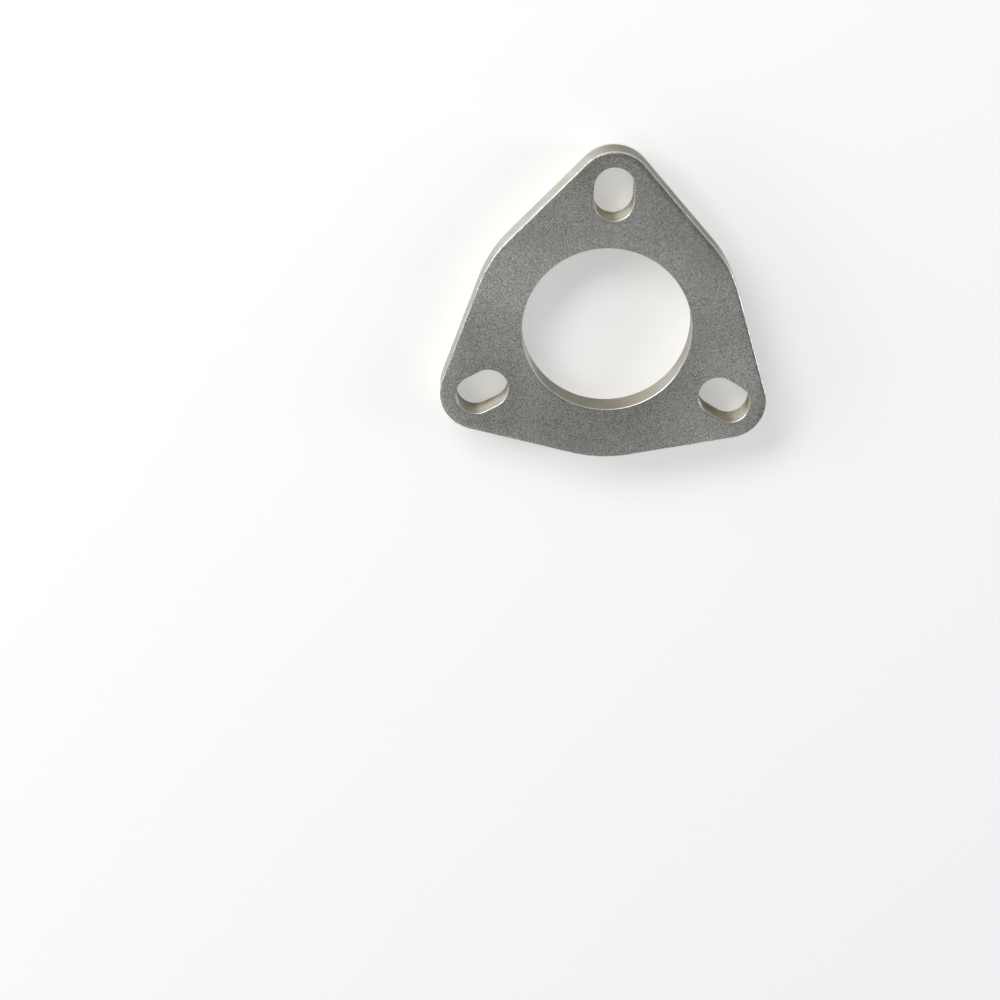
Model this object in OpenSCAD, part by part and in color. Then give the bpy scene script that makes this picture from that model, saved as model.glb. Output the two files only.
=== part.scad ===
// Three-bolt exhaust flange, one piece of stainless steel plate cut to shape.
// It lies flat, its underside on z = 0, the bore's axis on Z and one ear along +Y.
// All lengths are in millimetres and all angles in degrees.

/* [Plate] */
// Thickness of the plate
plate_t = 9.5; // [5:0.5:16]
// Height and width of the small bevel that deburring leaves on every rim
edge_break = 0.25; // [0.1:0.05:0.8]

/* [Pipe bore] */
// Diameter of the bore, a close clearance on a pipe of 50.8 mm
bore_d = 51; // [42:0.5:60]
// Width of the ring of plate round the bore, where there is no ear
ring_w = 15.4; // [11:0.2:24]

/* [Bolt slots] */
// Diameter of the circle through the middles of the slots
bolt_circle_d = 84.6; // [78:0.2:96]
// Width of a slot
slot_w = 12; // [8:0.5:15]
// Length of a slot's straight sides, which is how far its bolt can slide
slot_travel = 4.3; // [1:0.1:9]

/* [Ears] */
// Width of the plate beside a slot
ear_land = 5.8; // [4:0.2:8]
// How far the centre of an ear's round end lies outside the middle of its slot
ear_shift = 1.1; // [0:0.1:3]

/* [Hidden] */
// Facets of a full circle
$fn = 180;
// Colour of the plate, a neutral satin stainless steel
STEEL = [0.56, 0.56, 0.54];
// Directions in which the ears point
EAR_ANGLES = [90, 210, 330];
ear_pitch = 360 / len(EAR_ANGLES);
bore_r = bore_d / 2;
body_r = bore_r + ring_w;
slot_r = slot_w / 2;
slot_centre_r = bolt_circle_d / 2;
ear_r = slot_r + ear_land;
ear_centre_r = slot_centre_r + ear_shift;
// Angle from an ear's centre line to the normal of the straight edge beside it,
// which touches both the round body and the ear's round end
edge_angle = acos((body_r - ear_r) / ear_centre_r);
// Length of that straight edge between the two points where it touches
edge_l = ear_centre_r * sin(edge_angle);
// How far a straight edge is set in from its two arcs, too little to see, so that
// it crosses them instead of only touching them
set_in = 0.002;
// How far a cutting shape reaches past what it cuts
over = 1;

// Point at distance r from the origin in the direction a.
function polar(r, a) = [r * cos(a), r * sin(a)];

// Outline of an ear that points along +X: its round end, and the web with two
// straight edges that joins it to the body.
module ear_outline() {
    ear_centre = [ear_centre_r, 0];
    translate(ear_centre)
        circle(r = ear_r);
    polygon([
        polar(body_r - set_in, edge_angle),
        polar(body_r - set_in, -edge_angle),
        ear_centre + polar(ear_r - set_in, -edge_angle),
        ear_centre + polar(ear_r - set_in, edge_angle)
    ]);
}

// Outline of the plate: a round body with an ear for each bolt.
module plate_outline() {
    circle(r = body_r);
    for (a = EAR_ANGLES)
        rotate(a)
            ear_outline();
}

// Section of a cut that bevels both rims of a wall at x = 0, with its metal at x < 0.
module rim_section() {
    for (side = [0, 1])
        translate([0, side * plate_t])
            mirror([0, side])
                polygon([
                    [-edge_break - over, -over],
                    [over, -over],
                    [over, edge_break + over]
                ]);
}

// Bevels on both rims of an outer arc about Z, from the angle a0 through a sweep.
module arc_bevels(r, a0, sweep) {
    rotate_extrude(angle = sweep, start = a0)
        translate([r, 0])
            rim_section();
}

// Bevels on both rims of a straight edge that faces +X and ends on the X axis.
module straight_bevels() {
    translate([body_r - set_in, over, 0])
        rotate([90, 0, 0])
            linear_extrude(edge_l + 2 * over)
                rim_section();
}

// Bevels on the outer rims of an ear that points along +X, and of the body's arc
// between this ear and the next.
module ear_bevels() {
    translate([ear_centre_r, 0, 0])
        arc_bevels(ear_r, -edge_angle, 2 * edge_angle);
    arc_bevels(body_r, edge_angle, ear_pitch - 2 * edge_angle);
    for (side = [0, 1])
        mirror([0, side, 0])
            rotate(edge_angle)
                straight_bevels();
}

// Half section of a cut whose wall is at x = r and whose two mouths are bevelled.
module cut_section(r) {
    mouth_r = r + edge_break + over;
    polygon([
        [0, -over],
        [mouth_r, -over],
        [r, edge_break],
        [r, plate_t - edge_break],
        [mouth_r, plate_t + over],
        [0, plate_t + over]
    ]);
}

// Round cut for the pipe.
module bore_cut() {
    rotate_extrude()
        cut_section(bore_r);
}

// Radial slot with round ends, for the bolt of an ear that points along +X.
module slot_cut() {
    translate([slot_centre_r, 0, 0]) {
        for (turn = [0, 180])
            rotate(turn)
                translate([slot_travel / 2, 0, 0])
                    rotate_extrude(angle = 180, start = -90)
                        cut_section(slot_r);
        translate([-slot_travel / 2, 0, 0])
            rotate([90, 0, 90])
                linear_extrude(slot_travel)
                    for (side = [0, 1])
                        mirror([side, 0])
                            cut_section(slot_r);
    }
}

// The whole flange: the plate with its bore and slots cut through, its rims bevelled.
module flange_plate() {
    color(STEEL)
        difference() {
            linear_extrude(plate_t)
                plate_outline();
            bore_cut();
            for (a = EAR_ANGLES)
                rotate(a) {
                    slot_cut();
                    ear_bevels();
                }
        }
}

flange_plate();
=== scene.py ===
"""Looks of a three-bolt exhaust flange cut from stainless steel plate.

The flange lies on a pale floor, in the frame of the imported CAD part: metres, +Z up,
the bore's axis on Z and one ear along +Y. One detailed mesh stands for the plate.
"""
import math
import random

import bpy
from mathutils import Euler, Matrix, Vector, geometry


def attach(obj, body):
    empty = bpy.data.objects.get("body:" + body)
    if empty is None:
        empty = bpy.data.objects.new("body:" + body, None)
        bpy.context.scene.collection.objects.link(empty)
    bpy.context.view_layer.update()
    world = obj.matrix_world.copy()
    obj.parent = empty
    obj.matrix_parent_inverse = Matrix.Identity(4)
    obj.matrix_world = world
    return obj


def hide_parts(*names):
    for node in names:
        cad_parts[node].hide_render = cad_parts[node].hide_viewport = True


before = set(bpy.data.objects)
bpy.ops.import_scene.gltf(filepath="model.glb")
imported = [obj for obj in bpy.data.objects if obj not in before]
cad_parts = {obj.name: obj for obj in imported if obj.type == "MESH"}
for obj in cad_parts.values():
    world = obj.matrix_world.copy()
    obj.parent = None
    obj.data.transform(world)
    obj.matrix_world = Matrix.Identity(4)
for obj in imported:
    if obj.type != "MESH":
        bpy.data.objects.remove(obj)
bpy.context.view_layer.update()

MM = 0.001

# Sizes of the plate, in mm, as the CAD part has them
PLATE_T = 9.5
BORE_R = 25.5
BODY_R = 40.9
SLOT_R = 6.0
SLOT_CENTRE_R = 42.3
SLOT_TRAVEL = 4.3
EAR_R = 11.8
EAR_CENTRE_R = 43.4
EAR_ANGLES = (90, 210, 330)

# Fine form of the cut walls and their rims, in mm

# Distance between two columns of points along a wall
STEP = 0.3
# A rim that deburring has rounded: how far the rounding reaches in over the face and
# down the wall, and how wide and deep the face falls away before it
OUTER_RIM = {"reach_in": 0.12, "reach_down": 0.75, "fall_w": 2.0, "fall_h": 0.32}
HOLE_RIM = {"reach_in": 0.23, "reach_down": 0.27, "fall_w": 0.7, "fall_h": 0.05}
# Fullness of the rounding: 1 is a flat bevel, 2 is an ellipse
FULLNESS = 1.6
# The side from which the deburring brush ran, in degrees. Rims that face away from it
# stay sharper, with this share of the rounding.
BRUSHED_SIDE = 92
LEAST_ROUNDED = 0.3
# Cosine of the angle between a wall's normal and that side, where the rounding starts
# to grow and where it is full
BRUSH_STARTS = 0.45
BRUSH_FULL = 0.75
# The drag lines that a laser cut keeps on its lower half: the height that they reach,
# half the height over which they fade, their depth and the seed of their pattern
DRAG_TOP = 4.2
DRAG_FADE = 0.5
DRAG_DEPTH = 0.016
DRAG_SEED = 11
# Rows of points over the face's fall, the rounding and the wall
FALL_ROWS = 7
ROUND_ROWS = 6
WALL_ROWS = 11
# Step between the linished upper half and the lower half
LEDGE = 0.02
# Bulge of a wall between its two rims
CROWN = 0.01
# How far the whole wall lies inside its ideal place, to stay within the CAD box
SET_IN = 0.015
# The pip that the cut leaves where it closes on itself: half its width along the wall,
# how far it stands out, how far under the top face it starts and is full, and where it
# is on the bore and on the outline
PIP_W = 0.5
PIP_H = 0.32
PIP_START = 2.2
PIP_FULL = 0.5
BORE_PIP = (22.76, -11.50)
OUTLINE_PIP = (27.13, -36.02)
# How finely two points of a face are told apart when it is cut into triangles
SAME_POINT = 1e-6

# Places of the materials in the flange's list
FACE, EDGE, LINISHED, TINTED = range(4)
# Which part of the painted shade's cloud pattern lies on the faces, in metres
CLOUD_AT = (0.74, 1.94, 1.44)


def polar(radius, degrees):
    angle = math.radians(degrees)
    return Vector((radius * math.cos(angle), radius * math.sin(angle)))


def arc(centre, radius, start, end, hollow=False):
    """Points and outward normals along an arc, up to but without its end."""
    count = max(2, math.ceil(abs(math.radians(end - start)) * radius / STEP))
    side = -1 if hollow else 1
    points = []
    for i in range(count):
        ray = polar(1, start + (end - start) * i / count)
        points.append((centre + ray * radius, ray * side))
    return points


def straight(start, end):
    """Points and outward normals along a straight edge with the metal on its left."""
    along = end - start
    count = max(2, math.ceil(along.length / STEP))
    normal = Vector((along.y, -along.x)).normalized()
    return [(start + along * (i / count), normal) for i in range(count)]


def outer_loop():
    """The outline, counterclockwise: each ear's round end, then the body's arc."""
    edge_angle = math.degrees(math.acos((BODY_R - EAR_R) / EAR_CENTRE_R))
    pitch = 360 / len(EAR_ANGLES)
    loop = []
    for ear in EAR_ANGLES:
        centre = polar(EAR_CENTRE_R, ear)
        first, last = ear - edge_angle, ear + edge_angle
        loop += straight(polar(BODY_R, first), centre + polar(EAR_R, first))
        loop += arc(centre, EAR_R, first, last)
        loop += straight(centre + polar(EAR_R, last), polar(BODY_R, last))
        loop += arc(Vector((0, 0)), BODY_R, last, ear + pitch - edge_angle)
    return loop


def bore_loop():
    return arc(Vector((0, 0)), BORE_R, 360, 0, hollow=True)


def slot_loop(ear):
    """A radial slot with round ends, clockwise."""
    loop = []
    for turn in (0, 180):
        out = ear + turn
        middle = polar(SLOT_CENTRE_R, ear) + polar(SLOT_TRAVEL / 2, out)
        loop += arc(middle, SLOT_R, out + 90, out - 90, hollow=True)
        loop += straight(
            middle + polar(SLOT_R, out - 90),
            middle + polar(SLOT_TRAVEL, out + 180) + polar(SLOT_R, out - 90),
        )
    return loop


def brushed(rim, normal):
    """A rim's sizes where the wall faces along the normal."""
    facing = smooth(normal.dot(polar(1, BRUSHED_SIDE)), BRUSH_STARTS, BRUSH_FULL)
    share = LEAST_ROUNDED + (1 - LEAST_ROUNDED) * facing
    return {
        "reach_in": rim["reach_in"] * share,
        "reach_down": rim["reach_down"] * share,
        "fall_w": rim["fall_w"],
        "fall_h": rim["fall_h"] * share,
    }


def rim_rows(reach_in, reach_down, fall_w, fall_h):
    """Inset and drop of each row of points over a rim, from the face to the wall."""
    rows = []
    # The face falls away slowly at first and most steeply beside the rounding.
    for i in range(FALL_ROWS):
        share = i / FALL_ROWS
        rows.append((reach_in + fall_w * (1 - share), fall_h * share ** 3))
    for i in range(ROUND_ROWS + 1):
        angle = math.radians(90) * i / ROUND_ROWS
        across = math.sin(angle) ** (2 / FULLNESS)
        down = 1 - max(0.0, math.cos(angle)) ** (2 / FULLNESS)
        rows.append((reach_in * (1 - across), fall_h + reach_down * down))
    return rows


def wall_profile(rim):
    """Inset and height of each row of points, from the underside up to the top face."""
    rows = rim_rows(**rim)
    first, last = rows[-1][1], PLATE_T - rows[-1][1]
    profile = list(rows)
    for i in range(1, WALL_ROWS):
        profile.append((0.0, first + (last - first) * i / WALL_ROWS))
    profile += [(inset, PLATE_T - drop) for inset, drop in reversed(rows)]
    return profile


def smooth(value, low, high):
    """0 below low, 1 above high, and a soft step between them."""
    share = min(1.0, max(0.0, (value - low) / (high - low)))
    return share * share * (3 - 2 * share)


def wall_relief(height, drag, pip):
    """How deep a point of a wall lies under the ideal wall, in mm."""
    middle = PLATE_T / 2
    depth = SET_IN + CROWN * ((height - middle) / middle) ** 2
    lower = 1 - smooth(height, DRAG_TOP - DRAG_FADE, DRAG_TOP + DRAG_FADE)
    depth += lower * (LEDGE + DRAG_DEPTH * drag)
    depth -= PIP_H * pip * smooth(height, PLATE_T - PIP_START, PLATE_T - PIP_FULL)
    return depth


def face_triangles(points, rings, rows):
    """Both faces in triangles, between the innermost rows of points of all loops.

    A ring lists a loop's points on the underside. Each one's partner on the top face is
    the last point of the same column.
    """
    flat_points, outlines, of_point = [], [], []
    for ring in rings:
        outlines.append(list(range(len(of_point), len(of_point) + len(ring))))
        of_point += ring
        flat_points += [Vector(points[index][:2]) / MM for index in ring]
    without_holes = 2
    _, _, faces, origins, _, _ = geometry.delaunay_2d_cdt(
        flat_points, [], outlines, without_holes, SAME_POINT)
    triangles = []
    for corners in faces:
        low = [of_point[origins[corner][0]] for corner in corners]
        top = [index + rows - 1 for index in low]
        triangles += [tuple(reversed(low)), tuple(top)]
    return triangles


def build_plate(cuts):
    """One closed mesh: the wall of each cut, and the two faces between them.

    A cut is its loop of points, its rim, the place of its pip and its wall's material.
    """
    rows = len(wall_profile(OUTER_RIM))
    dice = random.Random(DRAG_SEED)
    points, quads, quad_kinds = [], [], []
    rings = []
    for loop, full_rim, pip_at, wall_kind in cuts:
        start = len(points)
        count = len(loop)
        for spot, normal in loop:
            drag = dice.random()
            pip = 0.0
            if pip_at:
                away = (spot - Vector(pip_at)).length / PIP_W
                pip = max(0.0, 1 - away * away)
            rim = brushed(full_rim, normal)
            for inset, height in wall_profile(rim):
                depth = inset
                if inset < rim["reach_in"]:
                    depth += wall_relief(height, drag, pip) * (1 - inset / rim["reach_in"])
                flat = spot - normal * depth
                points.append((flat.x * MM, flat.y * MM, height * MM))
        for i in range(count):
            here = start + i * rows
            there = start + (i + 1) % count * rows
            for j in range(rows - 1):
                quads.append((here + j, there + j, there + j + 1, here + j + 1))
                edge = min(j, rows - 2 - j)
                if edge < FALL_ROWS:
                    quad_kinds.append(FACE)
                elif edge < FALL_ROWS + ROUND_ROWS:
                    quad_kinds.append(EDGE)
                else:
                    quad_kinds.append(wall_kind)
        rings.append([start + i * rows for i in range(count)])

    triangles = face_triangles(points, rings, rows)
    mesh = bpy.data.meshes.new("flange")
    mesh.from_pydata(points, [], quads + triangles)
    kinds = quad_kinds + [FACE] * len(triangles)
    mesh.polygons.foreach_set("material_index", kinds)
    mesh.polygons.foreach_set("use_smooth", [True] * len(quads) + [False] * len(triangles))
    mesh.update()
    return mesh


def linear(code):
    """An sRGB hex colour as the linear colour that Blender mixes."""
    mixed = []
    for i in (1, 3, 5):
        share = int(code[i:i + 2], 16) / 255
        mixed.append(share / 12.92 if share <= 0.04045 else ((share + 0.055) / 1.055) ** 2.4)
    return (*mixed, 1.0)


def add_node(tree, kind, links=None, **settings):
    """Adds a node. links gives each input a value or the socket that feeds it."""
    node = tree.nodes.new(kind)
    for name, value in settings.items():
        setattr(node, name, value)
    for name, value in (links or {}).items():
        if isinstance(value, bpy.types.NodeSocket):
            tree.links.new(value, node.inputs[name])
        else:
            node.inputs[name].default_value = value
    return node


def new_material(name):
    material = bpy.data.materials.new(name)
    material.use_nodes = True
    material.node_tree.nodes.clear()
    return material, material.node_tree


def per_metre(size_mm):
    """Scale of a pattern whose features are this many millimetres apart."""
    return 1 / (size_mm * MM)


def rolled_face():
    """Hot rolled, pickled stainless plate: a matt, finely pebbled neutral grey."""
    material, tree = new_material("hot_rolled_pickled_stainless")
    place = add_node(tree, "ShaderNodeTexCoord").outputs["Object"]
    # Pickling etches each grain of the steel, about 0.1 mm across, dark or light.
    grain = add_node(tree, "ShaderNodeTexVoronoi", {"Vector": place, "Scale": per_metre(0.1)})
    etched = add_node(tree, "ShaderNodeMapRange", {
        "Value": grain.outputs["Color"], "From Min": 0.42, "From Max": 0.58})
    tone = add_node(tree, "ShaderNodeMix", {
        "Factor": etched.outputs["Result"], "A": linear("#7b7c76"), "B": linear("#f9faf2")},
        data_type="RGBA")
    # Soft clouds a few centimetres across darken the faces in places: painted shade, standing
    # in for uneven light and reflections on the faces.
    moved = add_node(tree, "ShaderNodeMapping", {"Vector": place, "Location": CLOUD_AT})
    cloud = add_node(tree, "ShaderNodeTexNoise", {
        "Vector": moved.outputs["Vector"], "Scale": per_metre(38), "Detail": 1.0})
    depth = add_node(tree, "ShaderNodeMapRange", {
        "Value": cloud.outputs["Fac"], "From Min": 0.35, "From Max": 0.65})
    veil = add_node(tree, "ShaderNodeMix", {
        "Factor": depth.outputs["Result"], "A": linear("#d2d2d0"), "B": linear("#ffffff")},
        data_type="RGBA")
    # The veil multiplies the grain's colour: painted shade on the faces
    clouded = add_node(tree, "ShaderNodeMix", {
        "Factor": 1.0, "A": tone.outputs["Result"], "B": veil.outputs["Result"]},
        data_type="RGBA", blend_type="MULTIPLY")
    shade = add_node(tree, "ShaderNodeMapRange", {
        "Value": cloud.outputs["Fac"], "From Min": 0.3, "From Max": 0.7,
        "To Min": 0.45, "To Max": 0.4})
    bump = add_node(tree, "ShaderNodeBump", {
        "Height": grain.outputs["Distance"], "Strength": 0.4, "Distance": 0.03 * MM})
    shader = add_node(tree, "ShaderNodeBsdfPrincipled", {
        "Base Color": clouded.outputs["Result"], "Metallic": 1.0,
        "Roughness": shade.outputs["Result"], "Normal": bump.outputs["Normal"]})
    add_node(tree, "ShaderNodeOutputMaterial", {"Surface": shader.outputs["BSDF"]})
    return material


def cut_wall(name, clean, tinted, roughness):
    """Laser cut stainless. Its lines along the edge spread light across it, along Z."""
    material, tree = new_material(name)
    place = add_node(tree, "ShaderNodeTexCoord").outputs["Object"]
    # Fine lines along the edge, 0.3 mm apart, and drag lines across it.
    flat = add_node(tree, "ShaderNodeMapping", {"Vector": place, "Scale": (1.0, 1.0, 14.0)})
    lines = add_node(tree, "ShaderNodeTexNoise", {
        "Vector": flat.outputs["Vector"], "Scale": per_metre(4.0), "Detail": 3.0})
    upright = add_node(tree, "ShaderNodeMapping", {"Vector": place, "Scale": (1.0, 1.0, 0.08)})
    drags = add_node(tree, "ShaderNodeTexNoise", {
        "Vector": upright.outputs["Vector"], "Scale": per_metre(0.8), "Detail": 1.0})
    relief = add_node(tree, "ShaderNodeMath", {
        0: drags.outputs["Fac"], 1: 0.5, 2: lines.outputs["Fac"]}, operation="MULTIPLY_ADD")
    # The cut's heat leaves a faint straw tint, in patches and along the lines.
    heat = add_node(tree, "ShaderNodeTexNoise", {
        "Vector": place, "Scale": per_metre(9.0), "Detail": 2.0})
    streaked = add_node(tree, "ShaderNodeMath", {
        0: heat.outputs["Fac"], 1: lines.outputs["Fac"]}, operation="ADD")
    warmth = add_node(tree, "ShaderNodeMapRange", {
        "Value": streaked.outputs["Value"], "From Min": 0.85, "From Max": 1.2})
    tone = add_node(tree, "ShaderNodeMix", {
        "Factor": warmth.outputs["Result"], "A": linear(clean), "B": linear(tinted)},
        data_type="RGBA")
    bump = add_node(tree, "ShaderNodeBump", {
        "Height": relief.outputs["Value"], "Strength": 0.5, "Distance": 0.04 * MM})
    across = add_node(tree, "ShaderNodeCombineXYZ", {"Z": 1.0})
    shader = add_node(tree, "ShaderNodeBsdfPrincipled", {
        "Base Color": tone.outputs["Result"], "Metallic": 1.0, "Roughness": roughness,
        "Anisotropic": 0.85, "Tangent": across.outputs["Vector"],
        "Normal": bump.outputs["Normal"]})
    add_node(tree, "ShaderNodeOutputMaterial", {"Surface": shader.outputs["BSDF"]})
    return material


def deburred_edge():
    """Stainless edge after deburring: the smoothest and brightest metal on the part."""
    material, tree = new_material("deburred_stainless_edge")
    shader = add_node(tree, "ShaderNodeBsdfPrincipled", {
        "Base Color": linear("#f4f3ee"), "Metallic": 1.0, "Roughness": 0.38})
    add_node(tree, "ShaderNodeOutputMaterial", {"Surface": shader.outputs["BSDF"]})
    return material


def pale_floor():
    """Matt white studio sweep. What a camera or a shiny part sees of it is lifted."""
    material, tree = new_material("matt_white_sweep")
    path = add_node(tree, "ShaderNodeLightPath")
    mirrored = add_node(tree, "ShaderNodeMath", {
        0: path.outputs["Is Glossy Ray"], 1: path.outputs["Is Transmission Ray"]},
        operation="MAXIMUM")
    in_metal = add_node(tree, "ShaderNodeMath", {
        0: mirrored.outputs["Value"], 1: METAL_LIFT}, operation="MULTIPLY")
    lift = add_node(tree, "ShaderNodeMath", {
        0: path.outputs["Is Camera Ray"], 1: CAMERA_LIFT, 2: in_metal.outputs["Value"]},
        operation="MULTIPLY_ADD")
    matt = add_node(tree, "ShaderNodeBsdfDiffuse", {"Color": linear("#d9d8d4")})
    glow = add_node(tree, "ShaderNodeEmission", {
        "Color": linear("#ffffff"), "Strength": lift.outputs["Value"]})
    both = add_node(tree, "ShaderNodeAddShader", {
        0: matt.outputs["BSDF"], 1: glow.outputs["Emission"]})
    add_node(tree, "ShaderNodeOutputMaterial", {"Surface": both.outputs["Shader"]})
    return material


# The flange
cuts = [
    (outer_loop(), OUTER_RIM, OUTLINE_PIP, LINISHED),
    (bore_loop(), HOLE_RIM, BORE_PIP, LINISHED),
]
# Slot walls take the lighter copy of the wall material: painted light against the shade in the
# slots.
cuts += [(slot_loop(ear), HOLE_RIM, None, TINTED) for ear in EAR_ANGLES]
flange = bpy.data.objects.new("flange", build_plate(cuts))
bpy.context.scene.collection.objects.link(flange)
for material in (
        rolled_face(),
        deburred_edge(),
        # Outline and bore: bright and satin, hardly warm.
        cut_wall("laser_cut_linished_stainless", "#bdbcb1", "#b3ae9e", 0.46),
        # Slots: lighter than the outline and bore walls, painted light against the shade that
        # falls in the narrow slots, and with more straw tint from the cut's heat.
        cut_wall("laser_cut_heat_tinted_stainless_painted_light", "#e6e4d8", "#c9bca4", 0.45)):
    flange.data.materials.append(material)
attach(flange, "root")
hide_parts("flange_plate")

# The floor: half its side and how far it lies under the flange, in metres
FLOOR_HALF = 3.0
FLOOR_GAP = 0.05 * MM
# Light that the floor seems to give off to the camera, and to what the metal mirrors
CAMERA_LIFT = 0.385
METAL_LIFT = 0.04
floor_points = [
    (x * FLOOR_HALF, y * FLOOR_HALF, -FLOOR_GAP)
    for x, y in ((-1, -1), (1, -1), (1, 1), (-1, 1))]
floor_mesh = bpy.data.meshes.new("floor")
floor_mesh.from_pydata(floor_points, [], [(0, 1, 2, 3)])
floor = bpy.data.objects.new("floor", floor_mesh)
floor.data.materials.append(pale_floor())
bpy.context.scene.collection.objects.link(floor)

# Light: a weak even tent and six softboxes, the two strongest from the left
world = bpy.data.worlds.new("light_tent")
world.use_nodes = True
world.node_tree.nodes.clear()
tree = world.node_tree
sky = add_node(tree, "ShaderNodeBackground", {
    "Color": linear("#ffffff"), "Strength": 0.1})
add_node(tree, "ShaderNodeOutputWorld", {"Surface": sky.outputs["Background"]})
bpy.context.scene.world = world


def softbox(name, azimuth, elevation, distance, width, height, power, colour):
    """A rectangular lamp in the given direction from the flange, facing it."""
    lamp = bpy.data.lights.new(name, "AREA")
    lamp.shape = "RECTANGLE"
    lamp.size = width
    lamp.size_y = height
    lamp.energy = power
    lamp.color = linear(colour)[:3]
    box = bpy.data.objects.new(name, lamp)
    ray = Vector((
        math.cos(math.radians(azimuth)) * math.cos(math.radians(elevation)),
        math.sin(math.radians(azimuth)) * math.cos(math.radians(elevation)),
        math.sin(math.radians(elevation))))
    box.location = ray * distance
    box.rotation_euler = ray.to_track_quat("Z", "Y").to_euler()
    bpy.context.scene.collection.objects.link(box)
    return box


# Name, azimuth and elevation in degrees, distance, width and height in metres, watts
softbox("left_softbox", 133, 31, 1.2, 1.2, 0.4, 12.0, "#fffdfd")
softbox("low_left_softbox", 178, 12, 1.2, 1.7, 0.35, 12.5, "#ebefff")
softbox("right_strip", 2, 14, 1.2, 0.32, 0.6, 7.0, "#ebefff")
softbox("front_softbox", 265, 12, 1.2, 1.4, 0.4, 3.5, "#ffffff")
softbox("back_softbox", 66, 16, 1.2, 1.2, 0.35, 1.4, "#ffffff")
softbox("high_softbox", 245, 60, 1.5, 1.3, 0.7, 2.6, "#ffffff")

# Camera: the one that fits the photograph's outline, bore and slots
# Focal length for a sensor 36 mm wide
LENS = 118.96
# Turn of the camera's axes from the flange's axes
CAMERA_TURN = Euler((-0.3896, -0.0085, 0.0398), "XYZ")
# The bore's centre as the camera sees it, in mm: to the right, up, and behind it
BORE_SEEN = Vector((31.96, 54.63, -999.5))
camera = bpy.data.objects.new("camera", bpy.data.cameras.new("camera"))
camera.data.lens = LENS
camera.rotation_euler = CAMERA_TURN
camera.location = CAMERA_TURN.to_matrix() @ -BORE_SEEN * MM
bpy.context.scene.collection.objects.link(camera)
bpy.context.scene.camera = camera
bpy.context.scene.view_settings.view_transform = "Standard"
